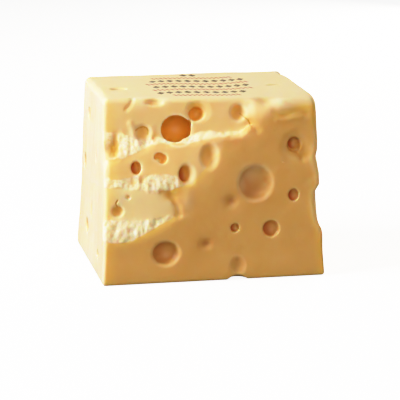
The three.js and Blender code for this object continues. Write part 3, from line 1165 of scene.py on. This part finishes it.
def cheese_material():
    graph = Graph(bpy.data.materials.new("cheese"))
    place = graph.node("TexCoord").outputs["Object"]
    share = {name: graph.attribute(name) for name in SHARES}
    torn, rind = share["torn"], share["rind"]
    mottle = graph.noise(place, MOTTLE)
    height = graph.noise(place, GRAIN) * 0.12 + graph.noise(place, RIPPLES) * 0.5
    height = height + graph.noise(place, CRUMBS) * torn * 2.2
    relief = graph.node("Bump", {"Strength": 0.35, "Distance": 0.0004, "Height": height})
    roughness = graph.ramp(mottle, 0.3, 0.7, 0.36, 0.5) + (torn * 0.35 + rind * 0.4)
    shader = graph.node(
        "BsdfPrincipled",
        {
            "Base Color": cheese_colour(graph, place, mottle, share),
            "Roughness": graph.math("MINIMUM", roughness, 1),
            "Normal": relief,
            "IOR": 1.45,
            "Specular IOR Level": graph.ramp(rind, 0, 1, 0.45, 0.1),
            "Subsurface Weight": 0.65,
            "Subsurface Radius": (1, 0.5, 0.18),
            "Subsurface Scale": 0.007,
        },
    )
    graph.node("OutputMaterial", {"Surface": shader})
    return graph.owner


# ---------- The scene round the object, in metres and degrees ----------

# The camera, read from the photo. An azimuth of 0 is in front, and one under 0 is on the left.
CAMERA_AZIMUTH = -9.7
CAMERA_ELEVATION = 15
CAMERA_AWAY = 1.18
CAMERA_TARGET = (0.0023, 0, 0.0439)
FIELD_OF_VIEW = 14
SENSOR = 36

# Softboxes as (name, azimuth, elevation, distance, size, strength, tint), aimed at LIGHT_TARGET.
LIGHTS = (
    ("key", -84, 26, 1.2, 0.5, 1.7, (1, 1, 1)),
    ("fill", -5, 25, 1.3, 1, 0.56, (1, 0.81, 0.58)),
    ("back", 135, 11, 1.2, 0.9, 1.5, (1, 0.94, 0.8)),
)
LIGHT_TARGET = (0, 0, 0.06)

# The studio's light in front of the object and behind it, as gloss shows it and as it falls on things. The
# camera sees one plain light.
GLOSS_LIGHT = (0.22, 1)
ROOM_LIGHT = (0.08, 0.12)
WALL_LIGHT = 4

# The square floor lies a little under the object, glows a little, and throws little light back up.
FLOOR_REACH = 6
FLOOR_DROP = 0.0002
FLOOR_TONES = ((0.88, 0.88, 0.87, 1), (0.92, 0.92, 0.91, 1))
FLOOR_GLOW = 1.1
FLOOR_BOUNCE = (0.12, 0.12, 0.12, 1)

# The tone curve is straight up to KNEE, and then eases up to white at BRIGHTEST, as on film.
KNEE = 0.6
CURVE_STOPS = (0.3, 0.6, 0.7, 0.8, 0.95, 1.15, 1.4, 1.8, 2.4, 3)
BRIGHTEST = 4


def stand_at(thing, target, azimuth, elevation, away):
    """Puts a camera or a light at a direction and distance from its target, and aims it there."""
    azimuth, elevation, target = math.radians(azimuth), math.radians(elevation), Vector(target)
    flat = math.cos(elevation)
    direction = Vector((math.sin(azimuth) * flat, -math.cos(azimuth) * flat, math.sin(elevation)))
    thing.location = target + direction * away
    thing.rotation_euler = (target - thing.location).to_track_quat("-Z", "Y").to_euler()


def add_camera():
    data = bpy.data.cameras.new("camera")
    data.sensor_width = SENSOR
    data.lens = SENSOR / 2 / math.tan(math.radians(FIELD_OF_VIEW / 2))
    camera = add_object("camera", data)
    stand_at(camera, CAMERA_TARGET, CAMERA_AZIMUTH, CAMERA_ELEVATION, CAMERA_AWAY)
    bpy.context.scene.camera = camera


def add_softbox(name, azimuth, elevation, away, size, strength, tint):
    """A square softbox. A white surface that faces it would be as bright as strength."""
    data = bpy.data.lights.new(name, "AREA")
    data.size = size
    data.energy = (math.pi * away) ** 2 * strength
    data.color = tint
    stand_at(add_object(name, data), LIGHT_TARGET, azimuth, elevation, away)


def add_world():
    """A white studio wall behind the object and a darker room in front of it."""
    world = bpy.data.worlds.new("studio")
    bpy.context.scene.world = world
    graph = Graph(world)
    behind = graph.axes(graph.node("TexCoord").outputs["Generated"])[1]
    path = graph.node("LightPath").outputs

    def backdrop(front, back):
        strength = graph.ramp(behind, -0.2, 0.5, front, back)
        return graph.node("Background", {"Strength": strength})

    lit = graph.mix_shaders(path["Is Glossy Ray"], backdrop(*ROOM_LIGHT), backdrop(*GLOSS_LIGHT))
    seen = graph.node("Background", {"Color": (1, 1, 1, 1), "Strength": WALL_LIGHT})
    graph.node("OutputWorld", {"Surface": graph.mix_shaders(path["Is Camera Ray"], lit, seen)})


def add_floor():
    """A plain pale floor."""
    graph = Graph(bpy.data.materials.new("floor"))
    place = graph.node("TexCoord").outputs["Object"]
    tone = graph.blend(graph.noise(place, FLOOR_CLOUDS), *FLOOR_TONES)
    cloth = graph.node("BsdfDiffuse", {"Color": tone})
    glow = graph.node("Emission", {"Strength": FLOOR_GLOW})
    both = graph.node("AddShader", {0: cloth, 1: glow})
    dim = graph.node("BsdfDiffuse", {"Color": FLOOR_BOUNCE})
    path = graph.node("LightPath").outputs["Is Camera Ray"]
    graph.node("OutputMaterial", {"Surface": graph.mix_shaders(path, dim, both)})
    mesh = bpy.data.meshes.new("floor")
    corners = [(x * FLOOR_REACH, y * FLOOR_REACH, 0) for x, y in ((-1, -1), (1, -1), (1, 1), (-1, 1))]
    mesh.from_pydata(corners, [], [(0, 1, 2, 3)])
    mesh.materials.append(graph.owner)
    floor = add_object("floor", mesh)
    floor.location.z = -FLOOR_DROP


def ease_highlights():
    """Sets the render's tone curve."""
    view = bpy.context.scene.view_settings
    view.view_transform = "Standard"
    view.use_curve_mapping = True
    mapping = view.curve_mapping
    mapping.white_level = [BRIGHTEST] * 3
    curve = mapping.curves[3]

    def tone(light):
        if light <= KNEE:
            return light
        return KNEE + (1 - KNEE) * (1 - math.exp((KNEE - light) / (1 - KNEE)))

    curve.points[1].location = (1, tone(BRIGHTEST))
    for light in CURVE_STOPS:
        curve.points.new(light / BRIGHTEST, tone(light))
    mapping.update()


cheese = make_cheese()
cheese.data.materials.append(cheese_material())
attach(cheese, "root")
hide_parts("cheese_block")

add_camera()
add_world()
add_floor()
for light in LIGHTS:
    add_softbox(*light)
ease_highlights()
